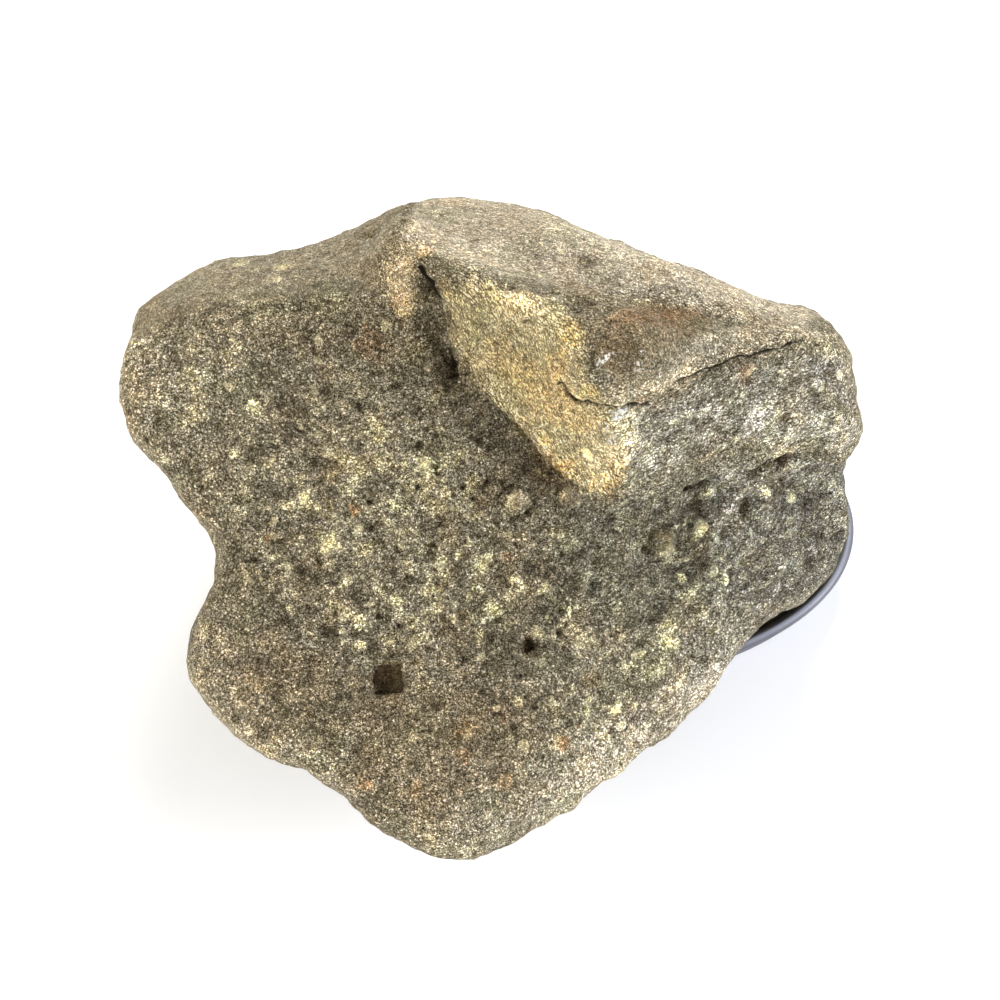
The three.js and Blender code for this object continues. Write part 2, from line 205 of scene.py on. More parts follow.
# Parts of the stone with a tint, some their own colour, some painted shade or light: the tint, its strength
# and the outline in pixels.
REGIONS = {
    "left of the block": ("ochre", 1.0, [
        (438, 292), (470, 276), (510, 284), (555, 298), (586, 318), (590, 350), (590, 378), (612, 396),
        (646, 404), (640, 440), (628, 482), (600, 503), (576, 492), (548, 466), (524, 440), (494, 408),
        (468, 376), (450, 345)]),
    "orange of the block": ("orange", 0.5, [
        (486, 346), (506, 334), (530, 352), (556, 366), (566, 380), (590, 402), (612, 410), (606, 432),
        (584, 440), (552, 430), (520, 404), (494, 376)]),
    "olive of the block": ("green", 0.3, [
        (440, 302), (480, 286), (530, 300), (546, 322), (530, 344), (490, 338), (470, 360), (446, 332)]),
    "under the nose": ("ochre", 0.4, [
        (596, 386), (630, 386), (664, 374), (690, 354), (716, 350), (694, 366), (664, 388), (640, 402),
        (604, 402)]),
    "nose": ("brown", 0.55, [
        (586, 332), (600, 314), (640, 302), (690, 304), (724, 318), (712, 338), (682, 350), (656, 366),
        (632, 380), (606, 378), (588, 362)]),
    "red of the nose": ("rust", 0.5, [
        (600, 312), (640, 300), (700, 304), (712, 320), (680, 332), (640, 326), (606, 332)]),
    # painted light on the top, which faces the back lamp, and paler rock
    "top of the block": ("light", 1.0, [
        (395, 240), (416, 190), (500, 190), (620, 226), (730, 268), (830, 312), (800, 332), (740, 314),
        (650, 298), (590, 298), (540, 288), (500, 278), (450, 268), (420, 256)]),
    "front edge of the top": ("light", 0.9, [
        (480, 262), (540, 276), (600, 272), (680, 286), (800, 322), (846, 336), (820, 344), (740, 322),
        (650, 302), (590, 296), (530, 284)]),
    "right of the nose": ("light", 0.4, [
        (700, 318), (780, 326), (800, 340), (730, 362), (690, 384), (640, 404), (600, 402), (604, 384),
        (636, 382), (664, 366), (690, 345)]),
    "right of the block": ("grey", 0.27, [
        (606, 402), (665, 396), (700, 376), (760, 362), (800, 352), (822, 356), (826, 400), (865, 420),
        (865, 440), (845, 452), (800, 448), (750, 445), (700, 455), (660, 478), (625, 492)]),
    # painted shade under the ledge
    "under the ledge": ("cool", 0.8, [
        (560, 500), (620, 500), (680, 470), (740, 450), (880, 458), (885, 520), (875, 570), (800, 600),
        (740, 620), (690, 600), (640, 640), (590, 620), (560, 560)]),
    "right of the middle": ("green", 0.4, [
        (548, 502), (600, 508), (640, 496), (700, 500), (728, 540), (722, 600), (684, 636), (620, 640),
        (580, 610), (556, 560)]),
    "lobe's shade": ("brown", 0.25, [
        (240, 318), (300, 308), (400, 306), (436, 320), (440, 370), (380, 372), (300, 350), (236, 350)]),
    "low left": ("brown", 0.35, [
        (200, 640), (260, 620), (330, 660), (350, 740), (300, 760), (230, 720)]),
    "low middle": ("brown", 0.4, [
        (340, 700), (420, 680), (520, 690), (560, 740), (500, 790), (420, 830), (350, 790)]),
    "violet of the flank": ("violet", 0.5, [
        (700, 470), (770, 450), (880, 455), (885, 520), (875, 575), (800, 620), (750, 660), (690, 700),
        (670, 650), (710, 590)]),
    "violet of the right end": ("violet", 0.7, [
        (800, 352), (846, 346), (860, 380), (858, 414), (828, 404), (812, 380)]),
    "shoulder": ("light", 0.5, [
        (545, 860), (520, 805), (560, 745), (620, 705), (680, 672), (716, 656), (736, 668), (710, 715),
        (650, 780), (590, 830)]),
    "bottom": ("light", 0.1, [
        (330, 790), (380, 750), (450, 745), (540, 760), (530, 830), (480, 870), (420, 860)]),
    "around the valley": ("shade", 0.3, [
        (412, 300), (440, 300), (455, 345), (480, 380), (540, 448), (592, 496), (566, 524), (500, 508),
        (440, 480), (402, 430), (396, 360)]),
    "valley": ("shade", 0.85, [
        (425, 300), (440, 300), (452, 345), (470, 374), (498, 406), (552, 462), (580, 488), (540, 500),
        (500, 470), (450, 440), (430, 380)]),
    "spur": ("pink", 0.87, SPUR),
    "light top of the lobe": ("light", 0.15, [
        (150, 320), (170, 270), (240, 240), (330, 225), (400, 210), (390, 250), (370, 296), (260, 304)]),
    # this and the low left edge: painted light on edges turned to the left lamp, and paler rock
    "left rim": ("light", 0.2, [
        (110, 330), (170, 330), (180, 400), (160, 440), (210, 500), (225, 560), (200, 600), (110, 600)]),
    "low left edge": ("light", 0.2, [
        (180, 610), (230, 600), (260, 680), (330, 760), (380, 800), (360, 840), (180, 720)]),
    "top of the lobe": ("smooth", 1.0, [
        (120, 345), (140, 300), (170, 265), (225, 250), (330, 232), (380, 205), (415, 195), (400, 235),
        (380, 270), (385, 300), (330, 300), (270, 308), (200, 318), (150, 337)]),
    "smooth spur": ("smooth", 0.6, SPUR),
    "smooth nose": ("smooth", 0.5, [
        (592, 330), (604, 312), (650, 300), (720, 310), (800, 330), (730, 356), (680, 376), (640, 398),
        (604, 396), (594, 370)]),
    "rough right of the block": ("patchy", 0.6, [
        (640, 410), (680, 392), (720, 376), (800, 356), (830, 380), (860, 430), (760, 446), (700, 460),
        (650, 480), (626, 470)]),
    "smooth left of the block": ("smooth", 0.7, [
        (441, 300), (470, 292), (545, 310), (580, 350), (600, 405), (628, 440), (600, 497), (552, 462),
        (498, 406), (452, 345)]),
    "smooth top of the block": ("smooth", 0.9, [
        (395, 240), (416, 180), (500, 180), (620, 216), (730, 258), (860, 320), (800, 332), (740, 312),
        (650, 295), (540, 298), (450, 262)]),
    "patchy middle": ("patchy", 1.0, [
        (240, 390), (330, 380), (430, 410), (520, 490), (600, 545), (680, 600), (690, 690), (640, 760),
        (560, 740), (480, 665), (380, 665), (280, 635), (230, 560)]),
    "patchy flank": ("patchy", 0.9, [
        (600, 500), (690, 478), (740, 452), (880, 448), (885, 520), (870, 565), (790, 600), (720, 630),
        (640, 620)]),
}  # fmt: skip
UNSEEN_PATCHES = 38.0  # how far apart patchy rock is on the sides that the picture does not show,
UNSEEN_SLOPE = 2.0  # and how steeply it sets in there
REGION_EDGE = 12.0  # pixels over which a region's tint sets in
SPOT_SLOPE = 2.2  # how steeply a spot sets in, over its radius
SQUARE_PIT_DARK = 0.75  # how strongly the square pit is darkened with painted shade

# Regions with streaks: how many degrees they rise to the right, and how much longer than wide grains are.
STREAKS = {
    "left of the block": (-58, 2.5),
    "right of the block": (28, 2.2),
    "top of the block": (-14, 2.0),
    "under the ledge": (28, 1.5),
}

# Stains and patches, and spots of painted shade: where each shows and its radius in pixels, and its
# strength.
SPOTS = {
    "orange": [
        (468, 730, 16, 0.7), (505, 782, 13, 0.8), (412, 790, 12, 0.5), (560, 742, 9, 0.6),
        (446, 286, 12, 0.7), (427, 252, 10, 0.5), (592, 680, 13, 0.6), (612, 490, 14, 0.6),
        (556, 366, 16, 0.5), (620, 470, 14, 0.5)],
    "ochre": [
        (664, 550, 12, 0.35), (686, 521, 6, 0.6), (405, 312, 12, 0.3), (558, 742, 12, 0.4),
        (470, 300, 22, 0.4)],
    "brown": [
        (388, 679, 20, 0.8), (530, 648, 9, 1.0), (545, 470, 26, 0.8), (352, 250, 8, 0.6),
        (620, 345, 22, 0.9), (755, 330, 18, 0.3), (480, 505, 10, 0.6), (664, 535, 13, 0.8),
        (455, 628, 24, 0.4), (330, 470, 18, 0.4), (610, 560, 22, 0.3)],
    # dark patches, and painted shade in pits, in the recess under the ledge and under the block's tip, and
    # the big pebble's painted shadow
    "dark": [
        (754, 473, 11, 0.9), (769, 469, 12, 0.9), (785, 465, 11, 0.9), (816, 455, 7, 0.8),
        (746, 509, 12, 0.8), (775, 482, 16, 0.3), (697, 505, 12, 0.7), (690, 489, 6, 1.0),
        (786, 419, 8, 0.7), (842, 533, 6, 0.9), (431, 286, 5, 0.4), (650, 405, 5, 1.0), (378, 616, 4, 1.0),
        (530, 647, 8, 0.7), (660, 525, 6, 0.6), (681, 559, 5, 0.8), (820, 430, 5, 0.7),
        (810, 507, 14, 0.4), (700, 556, 14, 0.5), (640, 585, 20, 0.3), (540, 560, 9, 0.5),
        (600, 508, 14, 0.5), (453, 362, 6, 0.2), (493, 540, 7, 0.6), (368, 239, 12, 0.7)],
    "light": [
        (520, 306, 30, 0.2), (756, 422, 20, 0.4), (715, 412, 14, 0.5), (840, 446, 12, 0.7),
        (812, 553, 9, 0.6), (730, 508, 9, 0.8), (780, 562, 9, 0.5), (775, 590, 9, 0.5),
        (655, 710, 26, 0.3)],
    "rust": [
        (355, 510, 8, 0.9), (267, 538, 6, 0.7), (462, 757, 12, 0.5), (366, 784, 8, 0.7),
        (368, 343, 18, 0.4), (322, 371, 12, 0.3), (400, 300, 12, 0.3), (500, 715, 14, 0.3),
        (746, 374, 12, 0.5), (508, 557, 6, 0.7), (565, 742, 10, 0.6), (640, 402, 10, 0.3)],
    "smooth": [
        (666, 544, 16, 1.0), (697, 527, 10, 0.8), (517, 500, 12, 0.8), (571, 496, 11, 0.8),
        (713, 571, 9, 0.9), (791, 498, 9, 0.6), (388, 679, 16, 1.0), (254, 406, 7, 0.9),
        (327, 545, 12, 0.6), (424, 467, 10, 0.7), (484, 562, 9, 0.8), (539, 633, 8, 0.7),
        (614, 709, 9, 0.7), (642, 655, 8, 0.7), (303, 497, 12, 0.6), (346, 575, 9, 0.6),
        (546, 589, 9, 0.7), (459, 556, 8, 0.6), (273, 558, 8, 0.6)],
    "pink": [
        (517, 500, 11, 0.3), (571, 496, 11, 0.25)],
    "pale": [
        (484, 562, 7, 1.0), (539, 633, 5, 1.0), (614, 709, 6, 1.0), (642, 655, 5, 1.0), (791, 498, 7, 1.0),
        (698, 529, 7, 0.5), (727, 581, 5, 0.5), (327, 545, 9, 0.5), (254, 406, 5, 1.0), (423, 466, 5, 1.0),
        (400, 602, 4, 1.0), (362, 645, 5, 0.9), (313, 447, 4, 0.8), (493, 610, 5, 0.9), (670, 643, 6, 0.8),
        (585, 712, 5, 0.9), (763, 492, 5, 0.7), (682, 578, 6, 1.0), (273, 558, 4, 0.9), (459, 556, 5, 0.8),
        (546, 589, 5, 0.9), (305, 497, 5, 0.8), (235, 455, 4, 0.8), (515, 578, 5, 0.8), (439, 590, 4, 0.8),
        (346, 575, 4, 0.9), (575, 640, 5, 0.8), (600, 660, 5, 0.7), (530, 600, 4, 0.8),
        (380, 560, 4, 0.7)],
    "cool": [
        (508, 345, 18, 0.6), (486, 322, 12, 0.4)],
    "gold": [
        (572, 334, 17, 0.7), (562, 352, 10, 0.6), (590, 390, 12, 0.6), (566, 470, 12, 0.7),
        (600, 484, 14, 0.5), (545, 440, 9, 0.5), (492, 344, 8, 0.4)],
    "shade": [
        (588, 303, 10, 0.7), (585, 260, 10, 0.5), (574, 249, 8, 0.4)],
    "chalk": [
        (603, 357, 6, 1.0), (600, 364, 5, 1.0), (618, 353, 4, 0.4), (638, 366, 6, 0.35),
        (641, 351, 4, 0.5), (607, 379, 4, 0.5), (620, 413, 12, 0.7), (603, 425, 6, 0.6),
        (612, 440, 9, 0.5), (634, 420, 8, 0.5)],
    "cream": [
        (242, 267, 12, 0.8), (283, 267, 12, 0.8), (332, 266, 9, 0.5), (254, 406, 8, 1.0),
        (424, 467, 12, 0.8), (327, 543, 12, 0.8), (275, 557, 8, 0.8), (484, 562, 11, 1.0),
        (459, 556, 8, 0.8), (360, 623, 8, 0.8), (362, 645, 7, 0.9), (493, 610, 10, 0.8),
        (539, 633, 9, 1.0), (546, 589, 10, 0.8), (614, 709, 11, 1.0), (517, 500, 11, 0.2),
        (571, 496, 10, 0.1), (726, 580, 8, 1.0), (791, 498, 11, 1.0), (697, 527, 11, 0.9),
        (682, 578, 7, 1.0), (670, 642, 14, 0.7), (642, 655, 8, 0.9), (585, 712, 8, 0.6),
        (763, 492, 8, 0.7), (713, 571, 7, 0.5), (313, 425, 7, 0.6), (235, 455, 8, 0.7), (305, 497, 8, 0.7),
        (345, 585, 8, 0.6), (395, 600, 8, 0.7), (415, 640, 7, 0.6), (515, 580, 7, 0.8), (565, 610, 9, 0.7),
        (480, 640, 8, 0.5), (290, 610, 8, 0.5), (440, 560, 7, 0.6), (520, 700, 9, 0.6),
        (395, 505, 7, 0.5)],
}  # fmt: skip


# ---- The stone's skin ----


def add_object(name, data):
    thing = bpy.data.objects.new(name, data)
    bpy.context.scene.collection.objects.link(thing)
    return thing


def divide(thing, levels):
    """Divides each face of an object the given number of times, which rounds it too."""
    divider = thing.modifiers.new("divide", "SUBSURF")
    divider.levels = levels
    divider.render_levels = levels


def welded_copy(node, joined=False):
    """A copy of a CAD node's mesh with its points welded and, where joined, its triangles made squares."""
    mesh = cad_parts[node].data.copy()
    worker = bmesh.new()
    worker.from_mesh(mesh)
    bmesh.ops.remove_doubles(worker, verts=worker.verts, dist=WELD * MM)
    if joined:
        limits = {"angle_face_threshold": JOINED_BEND, "angle_shape_threshold": JOINED_SKEW}
        bmesh.ops.join_triangles(worker, faces=worker.faces, **limits)
    worker.to_mesh(mesh)
    worker.free()
    return mesh


def fine_mesh(node, levels):
    """The mesh of a CAD node with each face divided the given number of times."""
    rough = add_object("rough_" + node, welded_copy(node))
    divide(rough, levels)
    evaluated = rough.evaluated_get(bpy.context.evaluated_depsgraph_get())
    fine = bpy.data.meshes.new_from_object(evaluated)
    bpy.data.objects.remove(rough)
    return fine


def smooth_step(low, high, values):
    share = np.clip((values - low) / (high - low), 0, 1)
    return share * share * (3 - 2 * share)


def read_vectors(mesh, name):
    vectors = np.empty(len(mesh.vertices) * 3)
    mesh.vertices.foreach_get(name, vectors)
    return vectors.reshape(-1, 3)


def read_points(mesh):
    return read_vectors(mesh, "co") / MM


def read_normals(mesh):
    return read_vectors(mesh, "normal")


def write_points(mesh, points):
    mesh.vertices.foreach_set("co", (points * MM).ravel())
    mesh.update()


def noise_at(points, size, seed):
    """Smooth noise from -1 to 1, its lumps about size millimetres apart."""
    shift = Vector([seed * step for step in SEED_SHIFT])
    return np.array([noise.noise(Vector(point) / size + shift) for point in points])


def ribs_at(points, slant, size, stretch):
    """Noise from -1 to 1 whose lumps are longer along a direction on the broad face."""
    along = np.array(face_direction(slant))
    squeezed = points + np.outer(points @ along, along) * (1 / stretch - 1)
    return noise_at(squeezed, size, SEEDS["ribs"])


def pores_at(points, seed, spacing, radius, depth, share):
    """The depth of small pits strewn about spacing millimetres apart, of which the given share is there."""
    shift = Vector([seed * step for step in PORE_SHIFT])
    deep = np.zeros(len(points))
    for index, point in enumerate(points):
        distances, centres = noise.voronoi(Vector(point) / spacing + shift)
        gap = distances[0] * spacing
        if gap < radius and noise.cell(centres[0] * PORE_SPREAD) < 2 * share - 1:
            deep[index] = depth * (1 - (gap / radius) ** 2)
    return deep


class Skin:
    """The stone's surface as the camera sees it, to place marks on it."""

    def __init__(self, mesh):
        self.points = read_points(mesh)
        self.normals = read_normals(mesh)
        polygons = [tuple(polygon.vertices) for polygon in mesh.polygons]
        self.tree = BVHTree.FromPolygons([Vector(point) for point in self.points], polygons)
        self.pixels = self.pixels_of(self.points)
        facing = self.normals @ np.array(OUT_OF_FACE)
        self.shown = smooth_step(*SHOWN_FACING, facing)
        self.on_outline = smooth_step(*OUTLINE_FACING, np.abs(facing))
        self.uneven = 1 + UNEVEN_MARKS * noise_at(self.points, UNEVEN_SIZE, SEEDS["marks"])
        stray = [noise_at(self.points, WANDER_SIZE, SEEDS["lines"] + axis) for axis in range(3)]
        self.strayed = self.points + WANDER * np.stack(stray, axis=1)

    def pixels_of(self, points):
        """Where points show in the picture."""
        away = points - np.array(CAMERA_PLACE)
        depth = away @ -np.array(OUT_OF_FACE)
        across = FRAME_PIXELS / 2 + FOCAL_PIXELS * (away @ np.array(ACROSS_FACE)) / depth
        down = FRAME_PIXELS / 2 - FOCAL_PIXELS * (away @ np.array(UP_FACE)) / depth
        return np.stack([across, down], axis=1)

    def under(self, x, y):
        """The point of the skin that shows at a pixel."""
        half = FRAME_PIXELS / 2
        sideways = ACROSS_FACE * ((x - half) / FOCAL_PIXELS)
        upwards = UP_FACE * ((half - y) / FOCAL_PIXELS)
        place, _, _, _ = self.tree.ray_cast(CAMERA_PLACE, sideways + upwards - OUT_OF_FACE)
        if place is None:
            raise ValueError(f"the stone does not show at pixel {x}, {y}")
        return np.array(place)

    def pixels_from(self, x, y):
        """How far from a pixel each point shows."""
        return np.hypot(self.pixels[:, 0] - x, self.pixels[:, 1] - y)

    def distance(self, x, y):
        """How far each point is from the one that shows at a pixel."""
        return np.linalg.norm(self.points - self.under(x, y), axis=1)

    def in_square(self, x, y, half, turn):
        """How far inside a square, laid on the skin at a pixel and turned in the picture, each point is."""
        offset = self.points - self.under(x, y)
        across = offset @ np.array(face_direction(turn))
        upwards = offset @ np.array(face_direction(turn + 90))
        behind = offset @ np.array(OUT_OF_FACE)
        inside = half - np.maximum(np.abs(across), np.abs(upwards))
        return np.where(np.abs(behind) < SQUARE_PIT_REACH * half, inside, -half)

    def distance_to_line(self, pixels):
        """The distance from a line of pixels laid on the skin, and how far above it in the picture."""
        ends = [self.under(*pixel) for pixel in pixels]
        nearest = np.full(len(self.points), np.inf)
        above = np.zeros(len(self.points))
        for start, end in zip(ends, ends[1:]):
            along = end - start
            share = np.clip((self.strayed - start) @ along / (along @ along), 0, 1)
            offset = self.strayed - (start + share[:, None] * along)
            gap = np.linalg.norm(offset, axis=1)
            closer = gap < nearest
            nearest[closer] = gap[closer]
            above[closer] = (offset @ np.array(UP_FACE))[closer]
        return nearest, above

    def depth_in(self, outline):
        """How many pixels inside an outline each point shows, negative outside it."""
        x, y = self.pixels.T
        nearest = np.full(len(x), np.inf)
        inside = np.zeros(len(x), bool)
        for (x0, y0), (x1, y1) in zip(outline, outline[1:] + outline[:1]):
            length = (x1 - x0) ** 2 + (y1 - y0) ** 2
            share = np.clip(((x - x0) * (x1 - x0) + (y - y0) * (y1 - y0)) / length, 0, 1)
            gap = np.hypot(x - x0 - share * (x1 - x0), y - y0 - share * (y1 - y0))
            nearest = np.minimum(nearest, gap)
            if y0 != y1:
                crosses = (y0 > y) != (y1 > y)
                inside ^= crosses & (x < x0 + (y - y0) / (y1 - y0) * (x1 - x0))
        return np.where(inside, nearest, -nearest)


def blurred(mesh, values, rounds):
    """Values of the mesh's points, each averaged with its neighbours over and over."""
    ends = np.empty(len(mesh.edges) * 2, int)
    mesh.edges.foreach_get("vertices", ends)
    first, second = ends.reshape(-1, 2).T
    count = len(mesh.vertices)
    neighbours = np.bincount(first, minlength=count) + np.bincount(second, minlength=count)
    for _ in range(rounds):
        total = np.zeros_like(values)
        for column in range(values.shape[1]):
            total[:, column] += np.bincount(first, values[second, column], count)
            total[:, column] += np.bincount(second, values[first, column], count)
        values = 0.5 * values + 0.5 * total / neighbours[:, None]
    return values


def sharpen(mesh):
    """Moves the mesh's points away from where a blur would take them."""
    points = read_points(mesh)
    normals = read_normals(mesh)
    push = np.sum((points - blurred(mesh, points, SHARPENING_ROUNDS)) * normals, axis=1)
    push = SHARPENING * np.clip(push, -SHARPENING_LIMIT, SHARPENING_LIMIT)
    write_points(mesh, points + push[:, None] * normals)


def relief_of(skin, fields):
    """How far each point of the skin moves out, in millimetres."""
    relief = np.zeros(len(skin.points))
    for seed, (size, height) in enumerate(LUMPS, SEEDS["lumps"]):
        relief += height * noise_at(skin.points, size, seed)
    for seed, (size, height) in enumerate(CRESTS, SEEDS["crests"]):
        relief += height * (CREST_MIDDLE - np.abs(noise_at(skin.points, size, seed)))
    for seed, pores in enumerate(PORES):
        relief -= pores_at(skin.points, seed, *pores)
    relief *= 1 - SMOOTHNESS * np.clip(fields["smooth"], 0, 1)
    relief *= 1 + ROUGHNESS * np.clip(fields["patchy"], 0, 1)
    for region, (size, stretch, height) in RIBS.items():
        ribs = ribs_at(skin.points, STREAKS[region][0], size, stretch)
        relief += height * ribs * np.clip(fields[region], 0, 1)
    relief *= 1 - OUTLINE_CALM * skin.on_outline
    for x, y, reach, height in SWELLINGS:
        relief += height * smooth_step(1, 0, skin.pixels_from(x, y) / reach)
    for x, y, radius, depth in PITS:
        relief -= depth * smooth_step(1, PIT_FLOOR, skin.distance(x, y) / radius * skin.uneven)
    x, y, half, depth, turn = SQUARE_PIT
    relief -= depth * smooth_step(*SQUARE_PIT_WALL, skin.in_square(x, y, half, turn))
    for x, y, radius, height in PEBBLES:
        reach = skin.distance(x, y) / radius * skin.uneven**UNEVEN_PEBBLES
        relief += height * np.sqrt(np.clip(1 - reach**2, 0, 1))
        relief -= MOAT_DEPTH * height * np.exp(-(((reach - MOAT_PLACE) / MOAT_WIDTH) ** 2))
    for pixels, width, depth, step in GROOVES.values():
        gap, above = skin.distance_to_line(pixels)
        relief -= depth * np.exp(-((gap / width) ** 2))
        relief += step * smooth_step(GROOVE_REACH, GROOVE_LIP, gap) * smooth_step(0, GROOVE_RISE, above)
    return relief


def with_peak(inside, peak):
    """A field of -1 to 1 that reaches only its peak inside."""
    return np.where(inside > 0, inside * peak, inside)


def fields_of(skin):
    """How far inside each tint and each streaked region every point is, from -1, outside, to 1."""
    fields = {name: np.full(len(skin.points), -1.0) for name in [*TINTS, *OTHER_FIELDS]}
    for region, (name, peak, outline) in REGIONS.items():
        inside = with_peak(np.clip(skin.depth_in(outline) / REGION_EDGE, -1, 1), peak)
        inside = np.where(skin.shown > 0, (inside + 1) * skin.shown - 1, -1)
        fields[name] = np.maximum(fields[name], inside)
        if region in STREAKS:
            fields[region] = inside
    for name, spots in SPOTS.items():
        for x, y, radius, peak in spots:
            reach = skin.distance(x, y) / (radius * PIXEL) * skin.uneven
            inside = with_peak(np.clip(SPOT_SLOPE * (1 - reach), -1, 1), peak)
            fields[name] = np.maximum(fields[name], inside)
    unseen = UNSEEN_SLOPE * noise_at(skin.points, UNSEEN_PATCHES, SEEDS["patches"])
    unseen = np.where(skin.shown < 0.5, np.clip(unseen, -1, 1), -1)
    fields["patchy"] = np.maximum(fields["patchy"], unseen)
    x, y, half, _, turn = SQUARE_PIT
    inside = np.clip(skin.in_square(x, y, half, turn), -1, SQUARE_PIT_DARK)
    fields["dark"] = np.maximum(fields["dark"], inside)
    return fields


def dark_line(skin):
    """How far above or below the nearest groove with painted shade each point is, in its line's widths, and
    how near.
    """
    side = np.full(len(skin.points), LINE_REACH)
    nearest = np.full(len(skin.points), np.inf)
    for name, width in DARK_GROOVES.items():
        gap, above = skin.distance_to_line(GROOVES[name][0])
        closer = gap < nearest
        nearest[closer] = gap[closer]
        side[closer] = (np.where(above > 0, gap, -gap) / width)[closer]
    return side, smooth_step(LINE_REACH, LINE_FULL, nearest)


def add_attribute(mesh, name, values):
    attribute = mesh.attributes.new(name, "FLOAT", "POINT")
    attribute.data.foreach_set("value", values.astype(np.float32))


def dress(mesh, name, material):
    """An object of a smooth mesh, all of one material."""
    mesh.shade_smooth()
    mesh.materials.clear()
    mesh.materials.append(material)
    return add_object(name, mesh)


def build_stone():
    mesh = fine_mesh("stone", SKIN_LEVELS)
    sharpen(mesh)
    skin = Skin(mesh)
    fields = fields_of(skin)
    relief = relief_of(skin, fields)
    relief *= smooth_step(FOOT_CLEAR, FOOT_CLEAR + FOOT_FADE, skin.points[:, 2])
    points = skin.points + skin.normals * relief[:, None]
    write_points(mesh, points)
    for name, (rounds, depth) in HOLLOWS.items():
        hollow = np.sum((blurred(mesh, points, rounds) - points) * read_normals(mesh), axis=1)
        fields[name] = np.clip(hollow / depth, -1, 1)
    fields["line side"], fields["line near"] = dark_line(skin)
    for name, values in fields.items():
        add_attribute(mesh, name, values)
    return dress(mesh, "stone_skin", stone_material())


# ---- The stand ----

STAND_LEVELS = 2  # how often each square of the stand's CAD solid is divided
# Two triangles of the solid become a square if they bend and the square is skewed by less than this.
JOINED_BEND = math.radians(40)
JOINED_SKEW = math.radians(60)


def build_stand():
    stand = dress(welded_copy("stand", joined=True), "stand_lacquer", lacquer_material())
    divide(stand, STAND_LEVELS)
    return stand


# ---- Materials ----

# The places of a Mix node's two inputs and of its output, by the kind of value that it mixes.
MIX_SOCKETS = {"RGBA": (6, 7, 2), "VECTOR": (4, 5, 1)}


